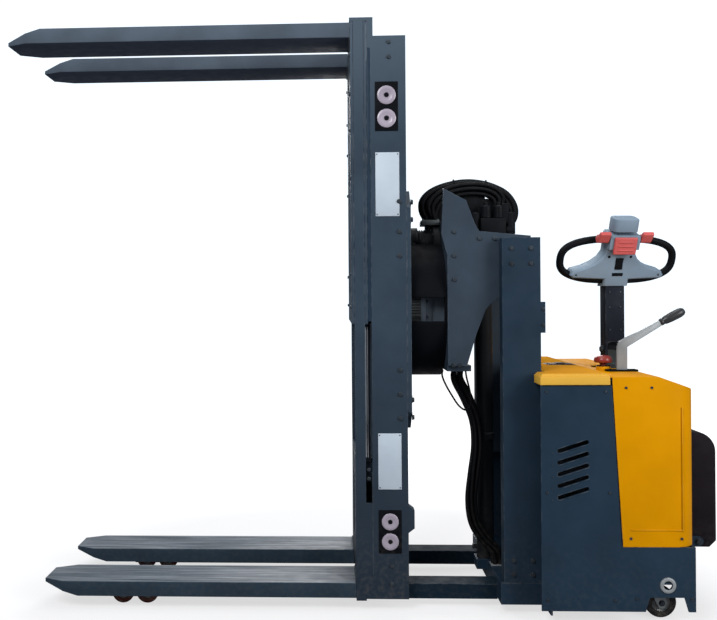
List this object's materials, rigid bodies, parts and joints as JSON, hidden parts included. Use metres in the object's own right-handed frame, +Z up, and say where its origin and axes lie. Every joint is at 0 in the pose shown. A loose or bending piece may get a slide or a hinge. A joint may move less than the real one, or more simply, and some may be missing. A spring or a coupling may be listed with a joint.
{
  "type": "electric straddle stacker",
  "caption": "Pedestrian stacker with a turning frame whose two pairs of forks clamp and turn a pallet, on a mast with a battery chassis, tiller and fold-up platform.",
  "frame": {"origin": "on the floor, at the middle of the bounding box in plan", "axes": "+Z up, +X from the fork tips to the tiller, +Y to the left of that"},
  "size_m": [2.368, 0.806, 1.973],
  "materials": {
    "dark_paint": "satin dark blue-grey paint",
    "mast_paint": "satin dark blue-grey paint",
    "leg_paint": "satin dark paint, scuffed",
    "fork_paint": "satin dark grey paint, worn on the load face",
    "frame_paint": "satin dark grey paint",
    "carriage_paint": "satin grey paint",
    "yellow_lid": "gloss amber-yellow",
    "yellow_cover": "moulded amber-yellow",
    "guard_black": "matt black sheet",
    "gear_steel": "greased cut teeth",
    "bearing_steel": "painted ring",
    "motor_grey": "grey-green cast housing",
    "bright_chrome": "hard chrome rod",
    "cylinder_grey": "grey paint",
    "roller_steel": "rolled bright on the tread",
    "roller_poly": "polyurethane",
    "rubber_tyre": "dark rubber",
    "zinc_plated": "zinc plated",
    "black_plastic": "textured black",
    "grey_plastic": "light grey moulding",
    "red_plastic": "red moulding",
    "case_plastic": "dark case",
    "pump_iron": "cast and machined",
    "drive_iron": "cast housing",
    "hose_rubber": "black hose",
    "platform_rubber": "black moulding with a rubber mat",
    "arm_paint": "satin black paint"
  },
  "bodies": {
    "chassis": {"chassis_frame": "dark_paint", "battery_lid": "yellow_lid", "rear_cover": "yellow_cover", "support_leg_left": "leg_paint", "support_leg_right": "leg_paint", "mast_channel_left": "mast_paint", "mast_channel_right": "mast_paint", "mast_top_tie": "mast_paint", "lift_cylinder": "cylinder_grey", "battery": "case_plastic", "hydraulic_power_pack": "pump_iron"},
    "drive": {"drive_unit": "drive_iron", "traction_motor": "arm_paint"},
    "drive_wheel": {"drive_wheel": "rubber_tyre"},
    "tiller": {"tiller_arm": "arm_paint", "tiller_head": "grey_plastic", "handle_ring": "black_plastic"},
    "throttle": {"throttle_paddles": "red_plastic"},
    "end_button": {"end_button": "grey_plastic"},
    "rocker": {"lift_rocker": "black_plastic"},
    "hand_lever": {"hand_lever": "zinc_plated"},
    "e_stop": {"e_stop_button": "red_plastic"},
    "platform": {"stand_on_platform": "platform_rubber"},
    "carriage": {"carriage_beam": "carriage_paint", "carriage_plate_left": "carriage_paint", "carriage_plate_right": "carriage_paint", "lift_ram": "bright_chrome", "slew_bearing": "bearing_steel", "slew_guard": "guard_black", "slew_motor": "motor_grey", "hose_arch": "hose_rubber", "hose_hanging": "hose_rubber"},
    "pinion": {"slew_pinion": "gear_steel"},
    "rotor": {"slew_ring_gear": "gear_steel", "slew_mount_plate": "frame_paint", "frame_side_left": "frame_paint", "frame_side_right": "frame_paint", "frame_top_tie": "frame_paint", "lower_fork_carriage": "frame_paint", "lower_fork_left": "fork_paint", "lower_fork_right": "fork_paint", "clamp_rod_left": "bright_chrome", "clamp_rod_right": "bright_chrome"},
    "clamp": {"upper_fork_carriage": "frame_paint", "upper_fork_left": "fork_paint", "upper_fork_right": "fork_paint", "clamp_cylinder_left": "cylinder_grey", "clamp_cylinder_right": "cylinder_grey"},
    "load_roller_left_front": {"load_roller_left_front": "roller_poly"},
    "load_roller_left_rear": {"load_roller_left_rear": "roller_poly"},
    "caster_fork_left": {"caster_fork_left": "zinc_plated"},
    "caster_wheel_left": {"caster_wheel_left": "rubber_tyre"},
    "load_roller_right_front": {"load_roller_right_front": "roller_poly"},
    "load_roller_right_rear": {"load_roller_right_rear": "roller_poly"},
    "caster_fork_right": {"caster_fork_right": "zinc_plated"},
    "caster_wheel_right": {"caster_wheel_right": "rubber_tyre"},
    "guide_roller_left_low": {"guide_roller_left_low": "roller_steel"},
    "guide_roller_left_high": {"guide_roller_left_high": "roller_steel"},
    "guide_roller_right_low": {"guide_roller_right_low": "roller_steel"},
    "guide_roller_right_high": {"guide_roller_right_high": "roller_steel"}
  },
  "joints": [
    {"name": "load_roll_left_front", "type": "hinge", "parent": "chassis", "child": "load_roller_left_front", "pos_m": [-0.807, 0.1925, 0.038], "axis": [0, 1, 0], "continuous": true},
    {"name": "load_roll_left_rear", "type": "hinge", "parent": "chassis", "child": "load_roller_left_rear", "pos_m": [-0.723, 0.1925, 0.038], "axis": [0, 1, 0], "continuous": true},
    {"name": "caster_swivel_left", "type": "hinge", "parent": "chassis", "child": "caster_fork_left", "pos_m": [0.942, 0.308, 0.1], "axis": [0, 0, 1], "continuous": true},
    {"name": "caster_roll_left", "type": "hinge", "parent": "caster_fork_left", "child": "caster_wheel_left", "pos_m": [0.972, 0.308, 0.05], "axis": [0, 1, 0], "continuous": true},
    {"name": "load_roll_right_front", "type": "hinge", "parent": "chassis", "child": "load_roller_right_front", "pos_m": [-0.807, -0.1925, 0.038], "axis": [0, 1, 0], "continuous": true},
    {"name": "load_roll_right_rear", "type": "hinge", "parent": "chassis", "child": "load_roller_right_rear", "pos_m": [-0.723, -0.1925, 0.038], "axis": [0, 1, 0], "continuous": true},
    {"name": "caster_swivel_right", "type": "hinge", "parent": "chassis", "child": "caster_fork_right", "pos_m": [0.942, -0.308, 0.1], "axis": [0, 0, 1], "continuous": true},
    {"name": "caster_roll_right", "type": "hinge", "parent": "caster_fork_right", "child": "caster_wheel_right", "pos_m": [0.972, -0.308, 0.05], "axis": [0, 1, 0], "continuous": true},
    {"name": "steer", "type": "hinge", "parent": "chassis", "child": "drive", "pos_m": [0.923, 0, 0.3], "axis": [0, 0, 1], "range_deg": [-8, 172]},
    {"name": "drive_wheel_roll", "type": "hinge", "parent": "drive", "child": "drive_wheel", "pos_m": [0.923, 0, 0.112], "axis": [0.9903, 0.1392, 0], "continuous": true},
    {"name": "tiller_tilt", "type": "hinge", "parent": "drive", "child": "tiller", "pos_m": [0.923, 0, 0.85], "axis": [0.9903, 0.1392, 0], "range_deg": [0, 45]},
    {"name": "throttle", "type": "hinge", "parent": "tiller", "child": "throttle", "pos_m": [0.93604, -0.09278, 1.24014], "axis": [0.9903, 0.1392, 0], "range_deg": [-20, 20], "stiffness_Nm_per_rad": 1.5},
    {"name": "end_button_press", "type": "slide", "parent": "tiller", "child": "end_button", "axis": [0.0476, -0.3387, 0.9397], "range_m": [-0.005, 0], "stiffness_N_per_m": 2000},
    {"name": "rocker_tilt", "type": "hinge", "parent": "tiller", "child": "rocker", "pos_m": [0.93019, -0.05117, 1.1554], "axis": [0.9903, 0.1392, 0], "range_deg": [-7, 7], "stiffness_Nm_per_rad": 1},
    {"name": "hand_lever_tilt", "type": "hinge", "parent": "chassis", "child": "hand_lever", "pos_m": [0.894, -0.19, 0.74], "axis": [0, 1, 0], "range_deg": [-8, 8]},
    {"name": "e_stop_press", "type": "slide", "parent": "chassis", "child": "e_stop", "axis": [0, 0, 1], "range_m": [-0.006, 0]},
    {"name": "platform_fold", "type": "hinge", "parent": "chassis", "child": "platform", "pos_m": [1.121, 0, 0.228], "axis": [0, 1, 0], "range_deg": [0, 90]},
    {"name": "mast_lift", "type": "slide", "parent": "chassis", "child": "carriage", "axis": [0, 0, 1], "range_m": [0, 0.25], "deforming": ["hose_hanging"]},
    {"name": "guide_roll_left_low", "type": "hinge", "parent": "carriage", "child": "guide_roller_left_low", "pos_m": [0.5375, 0.2661, 0.5], "axis": [0, 1, 0], "range_deg": [-5, 300]},
    {"name": "guide_roll_left_high", "type": "hinge", "parent": "carriage", "child": "guide_roller_left_high", "pos_m": [0.5375, 0.2661, 0.94], "axis": [0, 1, 0], "range_deg": [-300, 5]},
    {"name": "guide_roll_right_low", "type": "hinge", "parent": "carriage", "child": "guide_roller_right_low", "pos_m": [0.5375, -0.2661, 0.5], "axis": [0, 1, 0], "range_deg": [-5, 300]},
    {"name": "guide_roll_right_high", "type": "hinge", "parent": "carriage", "child": "guide_roller_right_high", "pos_m": [0.5375, -0.2661, 0.94], "axis": [0, 1, 0], "range_deg": [-300, 5]},
    {"name": "frame_rotation", "type": "hinge", "parent": "carriage", "child": "rotor", "pos_m": [0, 0, 1], "axis": [1, 0, 0], "range_deg": [-1.5, 1.5]},
    {"name": "pinion_spin", "type": "hinge", "parent": "carriage", "child": "pinion", "pos_m": [0, 0, 1.234], "axis": [1, 0, 0], "range_deg": [-7, 7]},
    {"name": "clamp_slide", "type": "slide", "parent": "rotor", "child": "clamp", "axis": [0, 0, -1], "range_m": [0, 0.45]}
  ],
  "couplings": [
    {"joint": "guide_roll_left_low", "follows": "mast_lift", "rad_per_m": 20.121},
    {"joint": "guide_roll_left_high", "follows": "mast_lift", "rad_per_m": -20.121},
    {"joint": "guide_roll_right_low", "follows": "mast_lift", "rad_per_m": 20.121},
    {"joint": "guide_roll_right_high", "follows": "mast_lift", "rad_per_m": -20.121},
    {"joint": "pinion_spin", "follows": "frame_rotation", "ratio": -4.5714}
  ]
}
